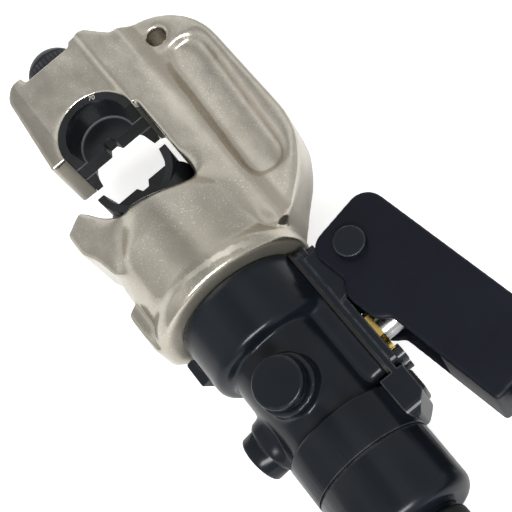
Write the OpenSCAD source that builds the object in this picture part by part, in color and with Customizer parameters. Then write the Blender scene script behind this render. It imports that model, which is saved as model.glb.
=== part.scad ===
// Hand pumped hydraulic crimping tool with an open forged head.
// The crimp centre, where the two dies meet, is the origin.
// +X runs to the handle end, +Y to the pump lever side, +Z out of the front face.

/* [Dies] */
// Radius of each half round die
die_r = 21; // [18:0.5:24]
// Length of a die through the head, front to back
die_t = 42; // [34:1:46]
// Thickness of the crimping web in the middle of a die
die_web = 11; // [8:0.5:16]
// Radius of the die's side recess at its mouth
die_recess_r = 17.2; // [15:0.1:18]
// Radius of the die's side recess at the web
die_recess_floor_r = 15; // [12:0.1:15.5]
// Corner radius of the six sided crimping nest
nest_r = 3.6; // [2:0.1:7]
// Free travel between the die faces
stroke = 30; // [22:0.5:32]

/* [Head] */
// Thickness of the flat forged part of the head
head_t = 45; // [43:0.5:50]
// Distance from the crimp centre to the end of the head
head_top = 55.5; // [50:0.5:64]
// Distance from the crimp centre line to the back of the C
head_back = 75.2; // [73:0.2:82]
// Distance from the crimp centre line to the throat wall
throat = 23.6; // [23:0.1:26]
// Width of the upper jaw on the open side
jaw_free = 30; // [27:0.5:34]
// Reach of the lower jaw tip on the open side
lower_jaw = 43; // [39:0.5:46]
// Radius of the ram housing
housing_r = 39; // [36:0.5:42]
// Radius of the collar at the end of the head
collar_r = 42.5; // [41:0.5:47]
// Distance from the crimp centre to the end face of the collar
collar_end = 111; // [109:0.5:112]
// Radius of the hanging hole through the head
hang_r = 5; // [3:0.1:7]
// Depth of the long pocket on each side of the C
pocket_depth = 5; // [2:0.5:8]
// Half width of that pocket
pocket_r = 10.2; // [8:0.2:11]

/* [Ram and cylinder] */
// Radius of the ram
ram_r = 24; // [22:0.25:25]
// Radius of the cylinder spigot that the head turns on
spigot_r = 30; // [28.5:0.25:32]
// Radius of the black cylinder
cylinder_r = 33; // [32:0.5:36]
// Distance from the crimp centre to the end of the black cylinder
cylinder_end = 143; // [140:0.5:147]
// Radius of the round pump block
block_r = 26; // [25:0.5:28]
// Distance from the crimp centre to the end of the pump block
block_end = 190; // [188:0.5:194]

/* [Release button] */
// Radius of the ribbed button
button_r = 13.5; // [10:0.5:14]
// Height of the button
button_h = 16.5; // [14:0.5:19]
// Travel of the button
button_travel = 3; // [2:0.5:4]
// Radius of its stem
button_stem_r = 4; // [3:0.25:5]

/* [Pump lever] */
// Distance along the tool from the crimp centre to the lever pivot
pivot_x = 131.8; // [130:0.1:134]
// Distance of the lever pivot from the centre line
pivot_y = 56; // [55:0.1:58]
// Angle that the lever stands open
lever_open = 10; // [9:0.5:12]
// Width of the lever channel
lever_w = 40.4; // [37:0.1:43]
// Depth of the lever channel, front to back
lever_t = 38; // [36:0.5:42]
// Length of the lever channel
lever_len = 112; // [100:1:125]
// Wall of the lever channel
lever_wall = 3; // [2:0.25:3.5]
// Radius of the pivot pin
pivot_r = 5; // [4:0.25:6]
// Radius of the pivot pin's head
pivot_head_r = 7.5; // [6.5:0.25:9]
// Distance from the pivot to the push roller
roller_arm = 34; // [33:0.25:35]
// Radius of the push roller
roller_r = 6; // [5:0.25:6.5]

/* [Handles] */
// Radius of the reservoir collar and sleeve
reservoir_r = 29.5; // [28:0.5:31]
// Distance from the crimp centre to the seam of the reservoir
seam_x = 212; // [208:0.5:216]
// Distance from the crimp centre to the end of the reservoir sleeve
sleeve_end = 246; // [240:1:256]
// Outer radius of the fixed handle tube
tube_r = 18; // [16:0.5:19]
// Outer radius of the fixed grip
grip_r = 21.5; // [20.5:0.5:24]
// Distance from the crimp centre to the end of the fixed grip
grip_end = 424; // [380:1:460]
// Outer radius of the lever tube
lever_tube_r = 13; // [11:0.5:15]
// Outer radius of the lever grip
lever_grip_r = 17; // [16:0.5:20]
// Length of the lever tube
lever_tube_len = 205; // [170:1:230]

/* [Plugs] */
// Radius of the round plugs on the pump block
plug_r = 12.2; // [10:0.1:13]
// Height of a plug's face above the centre line
plug_top = 39; // [37:0.5:41]
// Lean of the front plug towards the open side
front_plug_lean = 12; // [8:1:16]
// Place of the front plug along the tool
front_plug_x = 167; // [165:0.5:168]
// Lean of the side plug
side_plug_lean = 103; // [98:1:108]
// Place of the side plug along the tool
side_plug_x = 173; // [171:0.5:174]

/* [Fits] */
// Radial room of a running fit
run_fit = 0.06; // [0.02:0.01:0.1]
// Free gap between pieces that move past each other
free_gap = 0.4; // [0.3:0.05:0.6]
// Room between pieces that are fixed together
seat_gap = 0.05; // [0.02:0.01:0.1]

/* [Hidden] */
$fn = 96;

// Overrun of every cut
cut = 1;
// Steps in each rounded corner of an outline
corner_steps = 8;
// Facets of small six sided forms
hex_sides = 6;

// Head outline and its forged details
head_half = head_t / 2;
jaw_relief = 1.2;
jaw_relief_y = 21.4;
scoop_r = die_r + 2.2;
tip_x = stroke - 1;
tip_y = 32;
tip_slant = 7;
jaw_foot_x = stroke + 22;
saddle = [[3.5, -28.5, 3], [9, -25, 3], [15.5, -16, 5], [17, -7, 6], [25, 13, 4]];
rib_y = 40;
rib_slope = 6.4;
web_half = 17;
web_end = 40;
head_slant = 2;
notch_depth = 4.5;
notch_room = 1;
housing_start = stroke + 12;
housing_full = 68;
flare_start = 98;
flare_full = 104;
bead_r = 2.5;
side_lug_start = 84;
side_lug_half = 13;
side_lug_r = 4;
side_lug_out = 1.5;
pocket_a = [-4, 58];
pocket_b = [64.5, 53.2];
hang_at = [-24.3, 52];
spigot_start = 79;
seat_lip = 0.5;
slot_round_share = 0.85;
top_free_share = 0.68;
top_corner_r = 7;
back_corner_r = 36;
tail_corner_r = 50;
tail_start = 72;
tail_end = 101;
tail_y = 42.5;
jaw_corner_r = 4;
throat_corner_r = 5;

// Die details
die_clear = 0.1;
recess_depth = (die_t - die_web) / 2;
recess_slope = (die_recess_r - die_recess_floor_r) / recess_depth;
lock_hole_r = 2.6;
lock_hole_depth = 4;

// Ram details
ram_top = stroke + 7;
ram_end = 120;
ram_hollow_r = 13;
ram_hollow_start = 66;
ram_groove_x = 110;
ram_groove_w = 5;
ram_groove_depth = 2.5;
die_pin_r = 2;
die_pin_out = 3;
spring_r = 11;
spring_wire_r = 1.6;
spring_base = 127.6;
spring_len = 26;

// Button details
button_gap = button_travel + free_gap;
button_rim = 6;
button_y = 1;
button_ribs = 36;
rib_r = 0.45;
button_bore_r = 7;
button_spring_len = 14;
lock_tip_r = 2.3;
button_dome_r = 15;

// Ring and seal details
ring_x = 92;
ring_w = 3;
ring_depth = 1.4;
swivel_seal_x = 86;
seal_w = 3;
seal_depth = 2;

// Cylinder and pump block details
shoulder_x = collar_end + free_gap;
cylinder_round = 5;
bore_end = 128;
pad_start = 113.5;
pad_end = 210;
pad_top = 31;
pad_half = 14.2;
pad_corner_r = 6;
pad_root = 12;
pad_split = 187;
flat_room = 4;
boss_r = 14.4;
boss_top = 31;
socket_depth = 7;
plug_slot_depth = 3;
plug_hex_r = 6;
plug_round = 1.5;
oilway_r = 2.5;

// Flange stack and bracket
gasket_t = 1.5;
plate_t = 3;
bracket_t = 3.5;
gasket_lip = 1.2;
pad_ribs = 6;
pad_rib_r = 1.9;
rest_rise = 2.8;
rest_flat_end = 203;
rest_round = 3;
rest_foot = 24;
ear_r = 11;
ear_t = 4;
ear_z = lever_t / 2 - lever_wall - free_gap - ear_t;
ear_foot = 17;
screw_r = 2.5;
screw_head_r = 4.2;
screw_head_h = 4;
screw_len = 6.5;
screw_inset = 5.2;
screw_z = 6.5;
screw_near_x = pad_start + screw_inset;
screw_far_x = pad_split - screw_inset;
stack_top = pad_top + gasket_t + plate_t + bracket_t;

// Pump plunger
pump_x = pivot_x + roller_arm * cos(lever_open);
roller_y = pivot_y + roller_arm * sin(lever_open);
plunger_gap = 0.75;
plunger_r = 6;
plunger_cap_r = 8;
plunger_cap_h = 3;
plunger_top = roller_y - roller_r - plunger_gap;
plunger_foot = 15;
gland_r = 9.5;
gland_hex_r = 11.5;
gland_h = 2.6;
gland_depth = 10;
pump_bore_end = 6;
ball_r = 2.4;
relief_r = 4;
relief_len = 16;
relief_y = -8;

// Release lever, in the plane that leans out from the cylinder
release_lean = 22;
release_x = 124;
release_y = 30;
release_hub_r = 3.2;
release_half = 5.5;
release_slot = 5.5;
release_slot_floor = 26.4;
release_pin_r = 1.6;
release_pin_in = 4;
tab_start = 112.8;
tab_end = 127;
tab_low = 34.8;
tab_high = 39.4;
tab_r = 1.2;
valve_r = 2.5;
valve_x = 117;
valve_foot = 26.6;

// Moving lever
lever_below = 14.4;
lever_nose = 15;
lever_nose_r = 10;
lever_heel_r = 9;
lobe_start = 8.5;
lobe_end = 37;
lobe_drop = 5.5;
lobe_r = 7;
lobe_root_r = 2.5;
lever_tail_r = 4;
lever_mouth = 78;
roller_half = 8;
roller_pin_r = 3;
pin_shelf = 4;
pin_tail = 4.5;
clip_t = 1.2;
clip_out = 2;
lever_mid = lever_w / 2 - lever_below;
tube_in = 22;
lever_grip_start = 6;
lever_cap_len = 9;
lever_grip_taper = 1.5;
lever_bore_wall = 2.5;

// Fixed handle
sleeve_round = 7;
tube_start = 200;
tube_wall = 2.5;
bladder_r = 13.5;
bladder_end_gap = 22;
bladder_start = 206;
grip_wall_r = tube_r + seat_gap;
grip_round = 3;
grip_start = sleeve_end + 2;
grip_neck_r = grip_r - 1.5;
grip_ribs = 22;
grip_rib_h = 0.9;
grip_rib_w = 1.8;
grip_rib_top_share = 0.35;
grip_rib_in = 18;
cap_len = 12;
cap_round = 5;
filler_r = 6;
filler_head_r = 9;
filler_head_h = 3;

// Points of one rounded corner between its two neighbours
function unit(v) = v / norm(v);
function corner(p, c, n) =
    let (at = [c[0], c[1]], a = unit([p[0], p[1]] - at), b = unit([n[0], n[1]] - at))
    let (half = acos(max(-1, min(1, a * b))) / 2)
    let (mid = at + unit(a + b) * c[2] / sin(half), reach = c[2] / tan(half))
    let (from = at + a * reach - mid, to = at + b * reach - mid)
    let (first = atan2(from[1], from[0]), last = atan2(to[1], to[0]))
    let (sweep = (last - first + 540) % 360 - 180)
    [for (i = [0:corner_steps])
        let (angle = first + sweep * i / corner_steps)
        mid + c[2] * [cos(angle), sin(angle)]];

// An outline whose corners are given as x, y and radius
function rounded(pts) = [for (i = [0:len(pts) - 1])
    let (p = pts[(i + len(pts) - 1) % len(pts)], c = pts[i], n = pts[(i + 1) % len(pts)])
    each c[2] == 0 ? [[c[0], c[1]]] : corner(p, c, n)];

// A solid of revolution about the tool's axis from points of place and radius
module turned(pts) {
    rotate([0, 90, 0])
        rotate_extrude()
            polygon([for (p = rounded(pts)) [p[1], p[0]]]);
}

// A round bar along the tool's axis
module bar_x(x0, x1, r) {
    translate([x0, 0, 0])
        rotate([0, 90, 0])
            cylinder(r = r, h = x1 - x0);
}

// A ring along the tool's axis
module ring_x(x0, x1, r_in, r_out) {
    difference() {
        bar_x(x0, x1, r_out);
        bar_x(x0 - cut, x1 + cut, r_in);
    }
}

// A round bar along Y at one place along the tool
module bar_y(x, y0, y1, r) {
    translate([x, y0, 0])
        rotate([-90, 0, 0])
            cylinder(r = r, h = y1 - y0);
}

// Something that stands out from the tool's axis at a lean from +Z
module leaning(x, lean) {
    translate([x, 0, 0])
        rotate([lean, 0, 0])
            children();
}

// A long slot between two points, with rounded ends
module slot2d(a, b, r) {
    reach = norm(b - a) / 2 + r;
    translate((a + b) / 2)
        rotate([0, 0, atan2(b[1] - a[1], b[0] - a[0])])
            polygon(rounded([for (p = [[-reach, -r], [reach, -r], [reach, r], [-reach, r]])
                [p[0], p[1], r * slot_round_share]]));
}

// Outline of the forging, without the opening between the jaws
head_points = [
    [-head_top, -jaw_free * top_free_share, top_corner_r],
    [-head_top + head_slant, throat + head_slant, top_corner_r],
    [-web_end, rib_y - jaw_corner_r, jaw_corner_r],
    [-web_end, head_back, back_corner_r],
    [tail_start, head_back, tail_corner_r],
    [tail_end, tail_y, bead_r],
    [tail_end, 0, 0],
    [housing_full, -housing_r + bead_r, 0],
    [jaw_foot_x + jaw_corner_r, -housing_r, jaw_corner_r],
    [jaw_foot_x - jaw_corner_r, -lower_jaw, jaw_corner_r],
    [tip_x, -lower_jaw, 0],
    [seat_lip + cut, -jaw_free, 0],
    [-head_top + top_corner_r, -jaw_free + jaw_corner_r, top_corner_r]
];

// Opening between the jaws, down to the saddle in front of the ram
gap_points = concat(
    [
        [seat_lip, throat, 0],
        [seat_lip, -lower_jaw - cut, 0],
        [tip_x + tip_slant, -lower_jaw - cut, 0],
        [tip_x, -tip_y, jaw_corner_r / 2]
    ],
    [for (p = saddle) [stroke + p[0], p[1], p[2]]],
    [[stroke + saddle[len(saddle) - 1][0], throat, throat_corner_r]]
);

module head_frame() {
    color("silver")
    difference() {
        union() {
            difference() {
                linear_extrude(height = head_t, center = true)
                    polygon(rounded(head_points));
                // Outer web, lower than the rib along the throat
                for (side = [0, 1])
                    mirror([0, 0, side])
                        translate([-head_top - cut, 0, 0])
                            rotate([90, 0, 90])
                                linear_extrude(height = head_top + collar_end)
                                    polygon([
                                        [rib_y, head_half],
                                        [rib_y + rib_slope, web_half],
                                        [head_back + cut, web_half],
                                        [head_back + cut, head_half + cut],
                                        [rib_y, head_half + cut]
                                    ]);
            }
            turned([
                [housing_start, 0, 0],
                [housing_start, ram_r + bead_r, 0],
                [housing_full, housing_r, throat_corner_r],
                [flare_start, housing_r, bead_r],
                [flare_full, collar_r, bead_r],
                [collar_end, collar_r, bead_r],
                [collar_end, 0, 0]
            ]);
            // Lug on the open side of the collar
            linear_extrude(height = 2 * side_lug_half, center = true)
                polygon(rounded([
                    [side_lug_start, -collar_r - side_lug_out, side_lug_r],
                    [collar_end - cut, -collar_r - side_lug_out, side_lug_r],
                    [collar_end - cut, -housing_r + side_lug_r, 0],
                    [side_lug_start - side_lug_r, -housing_r + side_lug_r, 0]
                ]));
        }
        linear_extrude(height = 2 * (collar_r + cut), center = true)
            polygon(rounded(gap_points));
        // Seat of the upper die, and room for the lower one in front of the ram
        cylinder(r = die_r + die_clear, h = head_t + 2 * cut, center = true);
        translate([stroke, 0, 0])
            cylinder(r = scoop_r, h = die_t + 2 * cut, center = true);
        // Bore of the ram, then the wider bore that turns on the spigot
        bar_x(seat_lip + cut, collar_end + cut, ram_r + run_fit);
        bar_x(spigot_start - free_gap, collar_end + cut, spigot_r + run_fit);
        ring_x(ring_x, ring_x + ring_w, spigot_r, spigot_r + ring_depth);
        // Hanging hole
        translate(hang_at)
            cylinder(r = hang_r, h = head_t + 2 * cut, center = true);
        for (side = [-1, 1]) {
            // Long pocket that lightens the C
            translate([0, 0, side * web_half])
                linear_extrude(height = 2 * pocket_depth, center = true)
                    slot2d(pocket_a, pocket_b, pocket_r);
            // Machined face of the upper jaw
            translate([-head_top - cut, -jaw_free - cut, side * head_half - jaw_relief])
                cube([head_top + seat_lip + 2 * cut, jaw_relief_y + jaw_free + cut, 2 * jaw_relief]);
        }
        // Notch and stepped bore of the release button
        translate([-head_top - cut, button_y - button_r - notch_room, -head_t])
            cube([notch_depth + cut, 2 * (button_r + notch_room), 2 * head_t]);
        translate([0, button_y, 0]) {
            bar_x(-head_top - cut, 0, button_stem_r + run_fit);
            bar_x(-head_top - cut, -head_top + button_spring_len, button_bore_r);
        }
    }
}

// One half round die with its parting face on the crimp plane, its crown towards -X
module half_die() {
    difference() {
        cylinder(r = die_r, h = die_t, center = true);
        translate([0, -die_r - cut, -die_t])
            cube([die_r + cut, 2 * (die_r + cut), 2 * die_t]);
        for (side = [0, 180])
            rotate([side, 0, 0])
                translate([0, 0, die_web / 2])
                    cylinder(h = recess_depth + cut, r1 = die_recess_floor_r,
                        r2 = die_recess_r + recess_slope * cut);
        // Half of the six sided nest, its flanks running on past the parting face
        linear_extrude(height = die_t, center = true)
            polygon([
                [-nest_r * cos(30), -nest_r / 2],
                [cut, -nest_r - cut * tan(30)],
                [cut, nest_r + cut * tan(30)],
                [-nest_r * cos(30), nest_r / 2]
            ]);
    }
}

module upper_die() {
    color("#26272a")
    difference() {
        half_die();
        translate([0, button_y, 0])
            bar_x(-die_r - cut, -die_r + lock_hole_depth, lock_hole_r);
    }
}

module lower_die() {
    color("#26272a")
    difference() {
        translate([stroke, 0, 0])
            mirror([1, 0, 0])
                half_die();
        bar_x(stroke + die_r - lock_hole_depth, stroke + die_r + cut, lock_hole_r);
    }
}

module ram() {
    color("#7d7f80")
    difference() {
        bar_x(ram_top, ram_end, ram_r);
        translate([stroke, 0, 0])
            cylinder(r = die_r + die_clear, h = 2 * (ram_r + cut), center = true);
        bar_x(ram_hollow_start, ram_end + cut, ram_hollow_r);
        ring_x(ram_groove_x, ram_groove_x + ram_groove_w, ram_r - ram_groove_depth, ram_r + cut);
        bar_x(stroke, stroke + die_r + die_pin_out + cut, die_pin_r + seat_gap);
    }
}

module ram_seal() {
    color("#3a3a36")
    ring_x(ram_groove_x + seat_gap, ram_groove_x + ram_groove_w - seat_gap,
        ram_r - ram_groove_depth + seat_gap, ram_r - run_fit);
}

module ram_die_pin() {
    color("#8d8f90")
    bar_x(stroke + die_r - die_pin_out, stroke + die_r + die_pin_out + cut - seat_gap, die_pin_r);
}

module ram_return_spring() {
    color("#8d8f90")
    ring_x(spring_base - spring_len, spring_base, spring_r - 2 * spring_wire_r, spring_r);
}

module die_release_button() {
    button_base = -head_top + notch_depth - button_gap;
    color("#1b1b1c")
    translate([0, button_y, 0]) {
        bar_x(button_base - cut, -die_r - 2 * button_travel, button_stem_r);
        bar_x(-die_r - 2 * button_travel - cut,
            -die_r + lock_hole_depth - button_travel - free_gap, lock_tip_r);
        intersection() {
            bar_x(button_base - button_h, button_base, button_r);
            translate([button_base - button_h + button_dome_r, 0, 0])
                sphere(r = button_dome_r);
        }
        for (i = [0:button_ribs - 1])
            rotate([i * 360 / button_ribs, 0, 0])
                translate([0, button_r, 0])
                    bar_x(button_base - button_rim, button_base, rib_r);
    }
}

module button_spring() {
    color("#8d8f90")
    translate([0, button_y, 0])
        ring_x(-head_top + notch_depth, -head_top + button_spring_len - seat_gap,
            button_stem_r + free_gap, button_bore_r - free_gap);
}

module head_retaining_ring() {
    color("#8d8f90")
    ring_x(ring_x + seat_gap, ring_x + ring_w - seat_gap,
        spigot_r - ring_depth + free_gap, spigot_r + ring_depth - free_gap);
}

module swivel_seal() {
    color("#20201f")
    ring_x(swivel_seal_x + seat_gap, swivel_seal_x + seal_w - seat_gap,
        spigot_r - seal_depth + seat_gap, spigot_r - run_fit);
}

// Places of the flange screws, as x and z
screw_places = [for (x = [screw_near_x, screw_far_x]) for (z = [-1, 1]) [x, z * screw_z]];

module pad_outline(x1, lip) {
    translate([(pad_start + x1) / 2, 0])
        polygon(rounded([
            [-(x1 - pad_start) / 2 - lip, -pad_half - lip, pad_corner_r],
            [-(x1 - pad_start) / 2 - lip, pad_half + lip, pad_corner_r],
            [(x1 - pad_start) / 2 + lip, pad_half + lip, pad_corner_r],
            [(x1 - pad_start) / 2 + lip, -pad_half - lip, pad_corner_r]
        ]));
}

// A plate of the flange stack, with its screw holes and the pump opening
module stack_plate(y, t, x1, lip, hole_r) {
    difference() {
        translate([0, y + t, 0])
            rotate([90, 0, 0])
                linear_extrude(height = t)
                    pad_outline(x1, lip);
        bar_y(pump_x, y - cut, y + t + cut, hole_r);
        for (p = screw_places)
            translate([0, 0, p[1]])
                bar_y(p[0], y - cut, y + t + cut, screw_r + free_gap);
    }
}

module cylinder_body() {
    color("#161719")
    difference() {
        union() {
            turned([
                [spigot_start, 0, 0],
                [spigot_start, spigot_r, 0],
                [shoulder_x, spigot_r, 0],
                [shoulder_x, cylinder_r, cut],
                [cylinder_end, cylinder_r, cylinder_round],
                [cylinder_end, block_r, 0],
                [block_end, block_r, 0],
                [block_end, 0, 0]
            ]);
            translate([0, pad_top, 0])
                rotate([90, 0, 0])
                    linear_extrude(height = pad_top - pad_root)
                        pad_outline(pad_split, 0);
            leaning(front_plug_x, front_plug_lean)
                cylinder(r = boss_r, h = boss_top);
            leaning(side_plug_x, side_plug_lean)
                cylinder(r = boss_r, h = boss_top);
        }
        // Flat on the cylinder under the flange stack
        translate([pad_start - flat_room, pad_top, -cylinder_r])
            cube([pad_end - pad_start + 2 * flat_room, cylinder_r, 2 * cylinder_r]);
        // Cylinder bore and seal grooves of the spigot
        bar_x(spigot_start - cut, bore_end, ram_r + run_fit);
        ring_x(ring_x, ring_x + ring_w, spigot_r - ring_depth, spigot_r + cut);
        ring_x(swivel_seal_x, swivel_seal_x + seal_w, spigot_r - seal_depth, spigot_r + cut);
        // Sockets of the two plugs
        leaning(front_plug_x, front_plug_lean)
            translate([0, 0, boss_top - socket_depth])
                cylinder(r = plug_r - plug_round, h = socket_depth + cut);
        leaning(side_plug_x, side_plug_lean)
            translate([0, 0, boss_top - socket_depth])
                cylinder(r = plug_r - plug_round, h = socket_depth + cut);
        // Pump bore, the gland's seat above it and the oil way to the ram
        bar_y(pump_x, pump_bore_end, pad_top + cut, plunger_r + run_fit);
        bar_y(pump_x, pad_top - gland_depth, pad_top + cut, gland_r + seat_gap);
        bar_x(bore_end - cut, pump_x, oilway_r);
        bar_y(pump_x, -ball_r, pump_bore_end + cut, ball_r + seat_gap);
        for (p = screw_places)
            translate([0, 0, p[1]])
                bar_y(p[0], pad_top - screw_len, pad_top + cut, screw_r + seat_gap);
        // Slot for the release lever, its pin hole and the valve's bore
        rotate([release_lean, 0, 0]) {
            translate([release_x - release_slot, -cylinder_r - cut, -release_half - free_gap])
                cube([
                    2 * release_slot,
                    cylinder_r + cut - release_slot_floor,
                    2 * (release_half + free_gap)
                ]);
            translate([release_x, -release_y, 0])
                cylinder(r = release_pin_r + seat_gap,
                    h = 2 * (release_half + release_pin_in), center = true);
            bar_y(valve_x, -cylinder_r - cut, -valve_foot + seat_gap, valve_r + seat_gap);
        }
        // Relief valve pocket, open to the reservoir
        translate([0, relief_y, 0])
            bar_x(block_end - relief_len, block_end + cut, relief_r + seat_gap);
    }
}

// A round plug with a plain face and a spigot below it
module plug() {
    translate([0, 0, boss_top - socket_depth + seat_gap])
        cylinder(r = plug_r - plug_round - seat_gap, h = socket_depth);
    translate([0, 0, boss_top])
        rotate_extrude()
            polygon(rounded([
                [0, 0, 0],
                [plug_r, 0, 0],
                [plug_r, plug_top - boss_top, plug_round],
                [0, plug_top - boss_top, 0]
            ]));
}

module front_plug() {
    color("#1a1b1d")
    leaning(front_plug_x, front_plug_lean)
        plug();
}

module side_plug() {
    color("#1a1b1d")
    leaning(side_plug_x, side_plug_lean)
        plug();
}

module flange_gasket() {
    color("#2b2a28")
    stack_plate(pad_top, gasket_t, pad_split, gasket_lip, gland_r + seat_gap);
}

module flange_plate() {
    rest_start = pad_split + gasket_lip + free_gap;
    rest_y = pad_top + gasket_t + plate_t + rest_rise;
    rib_start = rest_start + 2 * pad_rib_r;
    color("#1f2022") {
        stack_plate(pad_top + gasket_t, plate_t, rest_flat_end, 0, gland_r + seat_gap);
        // Thick tail that stands on the reservoir
        difference() {
            intersection() {
                linear_extrude(height = 2 * pad_half, center = true)
                    polygon(rounded([
                        [rest_start, rest_foot, 0],
                        [rest_start, rest_y, rest_round / 2],
                        [rest_flat_end, rest_y, rest_round],
                        [pad_end, pad_top, rest_round],
                        [pad_end, rest_foot, 0]
                    ]));
                translate([0, rest_y + cut, 0])
                    rotate([90, 0, 0])
                        linear_extrude(height = rest_y - rest_foot + 2 * cut)
                            pad_outline(pad_end, 0);
            }
            bar_x(pad_split, pad_end + cut, reservoir_r + seat_gap);
        }
        // Rough ribs across the tail, where the lever comes to rest
        for (i = [0:pad_ribs - 1])
            translate([
                rib_start + (rest_flat_end - rest_round - rib_start) * i / (pad_ribs - 1),
                rest_y,
                0
            ])
                cylinder(r = pad_rib_r, h = 2 * (pad_half - pad_corner_r), center = true);
    }
}

module pivot_bracket() {
    color("#18191b")
    difference() {
        union() {
            stack_plate(pad_top + gasket_t + plate_t, bracket_t, pad_split, 0, gland_r + seat_gap);
            for (side = [-1, 1])
                translate([0, 0, side * (ear_z + ear_t / 2)])
                    linear_extrude(height = ear_t, center = true) {
                        translate([pivot_x, pivot_y])
                            circle(ear_r);
                        polygon([
                            [pivot_x - ear_r, pivot_y],
                            [pivot_x + ear_r, pivot_y],
                            [pivot_x + ear_foot, stack_top - bracket_t],
                            [pivot_x - ear_r, stack_top - bracket_t]
                        ]);
                    }
        }
        translate([pivot_x, pivot_y, 0])
            cylinder(r = pivot_r + run_fit, h = lever_t + 2 * cut, center = true);
    }
}

module bracket_screws() {
    color("#4c4d4f")
    for (p = screw_places)
        translate([0, 0, p[1]]) {
            bar_y(p[0], pad_top - screw_len + cut, stack_top + cut, screw_r);
            difference() {
                bar_y(p[0], stack_top, stack_top + screw_head_h, screw_head_r);
                translate([p[0], stack_top + screw_head_h / 2, 0])
                    rotate([-90, 0, 0])
                        cylinder(r = screw_r, h = screw_head_h, $fn = hex_sides);
            }
        }
}

module pivot_pin() {
    color("#1d1e20")
    translate([pivot_x, pivot_y, 0]) {
        translate([0, 0, -lever_t / 2 - pin_tail])
            cylinder(r = pivot_r, h = lever_t + pin_tail + free_gap + cut);
        translate([0, 0, lever_t / 2 + free_gap])
            rotate_extrude()
                polygon(rounded([
                    [0, 0, 0],
                    [pivot_head_r, 0, 0],
                    [pivot_head_r, pin_shelf, cut / 2],
                    [0, pin_shelf, 0]
                ]));
    }
}

module pivot_circlip() {
    color("#6a6c6e")
    translate([pivot_x, pivot_y, -lever_t / 2 - free_gap - clip_t])
        difference() {
            cylinder(r = pivot_r + clip_out, h = clip_t);
            translate([0, 0, -cut])
                cylinder(r = pivot_r + seat_gap, h = clip_t + 2 * cut);
        }
}

module plunger_gland() {
    color("#c29a4b")
    difference() {
        union() {
            bar_y(pump_x, pad_top - gland_depth + seat_gap, stack_top + cut, gland_r);
            translate([pump_x, stack_top, 0])
                rotate([-90, 0, 0])
                    cylinder(r = gland_hex_r, h = gland_h, $fn = hex_sides);
        }
        bar_y(pump_x, pad_top - gland_depth, stack_top + gland_h + cut, plunger_r + run_fit);
        bar_y(pump_x, pad_top, pad_top + seal_w, plunger_r + seal_depth);
    }
}

module pump_plunger() {
    color("#a9abad")
    union() {
        bar_y(pump_x, plunger_foot, plunger_top, plunger_r);
        bar_y(pump_x, plunger_top - plunger_cap_h, plunger_top, plunger_cap_r);
    }
}

module plunger_seal() {
    color("#20201f")
    difference() {
        bar_y(pump_x, pad_top + seat_gap, pad_top + seal_w - seat_gap, plunger_r + seal_depth - seat_gap);
        bar_y(pump_x, pad_top - cut, pad_top + seal_w + cut, plunger_r + run_fit);
    }
}

module check_ball() {
    color("#b5b7b9")
    translate([pump_x, 0, 0])
        sphere(r = ball_r);
}

module relief_valve() {
    color("#c29a4b")
    translate([0, relief_y, 0])
        bar_x(block_end - relief_len + seat_gap, block_end - seat_gap, relief_r);
}

module release_lever() {
    color("#17181a")
    rotate([release_lean, 0, 0])
        difference() {
            union() {
                translate([release_x, -release_y, 0])
                    cylinder(r = release_hub_r, h = 2 * release_half, center = true);
                linear_extrude(height = 2 * release_half, center = true)
                    polygon(rounded([
                        [release_x - release_hub_r, -release_y, 0],
                        [release_x + release_hub_r, -release_y, 0],
                        [tab_end, -tab_low, 0],
                        [tab_end, -tab_high, tab_r],
                        [tab_start, -tab_high, tab_r],
                        [tab_start, -tab_low, tab_r],
                        [release_x - release_hub_r, -tab_low, tab_r]
                    ]));
            }
            translate([release_x, -release_y, 0])
                cylinder(r = release_pin_r + run_fit, h = 2 * (release_half + cut), center = true);
        }
}

module release_pin() {
    color("#8d8f90")
    rotate([release_lean, 0, 0])
        translate([release_x, -release_y, 0])
            cylinder(r = release_pin_r, h = 2 * (release_half + release_pin_in - seat_gap), center = true);
}

module release_valve() {
    color("#c29a4b")
    rotate([release_lean, 0, 0])
        bar_y(valve_x, -cylinder_r, -valve_foot, valve_r);
}

module reservoir_collar() {
    color("#151618")
    difference() {
        turned([
            [block_end, 0, 0],
            [block_end, reservoir_r, plug_round],
            [seam_x, reservoir_r, 0],
            [seam_x, 0, 0]
        ]);
        bar_x(tube_start, seam_x + cut, tube_r + seat_gap);
    }
}

module reservoir_sleeve() {
    color("#151618")
    difference() {
        turned([
            [seam_x, 0, 0],
            [seam_x, reservoir_r - cut / 2, 0],
            [seam_x + cut, reservoir_r - cut / 2, 0],
            [seam_x + cut, reservoir_r, 0],
            [sleeve_end, reservoir_r, sleeve_round],
            [sleeve_end, 0, 0]
        ]);
        bar_x(seam_x - cut, sleeve_end + cut, tube_r + seat_gap);
    }
}

module handle_tube() {
    color("#2a2b2d")
    difference() {
        bar_x(tube_start, grip_end, tube_r);
        bar_x(tube_start - cut, grip_end + cut, tube_r - tube_wall);
    }
}

module oil_bladder() {
    color("#23211f")
    turned([
        [bladder_start, 0, 0],
        [bladder_start, tube_r - tube_wall - seat_gap, cut],
        [bladder_start + sleeve_round, tube_r - tube_wall - seat_gap, cut],
        [bladder_start + 2 * sleeve_round, bladder_r, sleeve_round / 2],
        [grip_end - bladder_end_gap, bladder_r, bladder_r - cut],
        [grip_end - bladder_end_gap, 0, 0]
    ]);
}

// One rib round a grip, narrower at its top
module grip_rib(x, r_in, r_out) {
    turned([
        [x - grip_rib_w, r_in, 0],
        [x - grip_rib_w * grip_rib_top_share, r_out, 0],
        [x + grip_rib_w * grip_rib_top_share, r_out, 0],
        [x + grip_rib_w, r_in, 0]
    ]);
}

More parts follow.
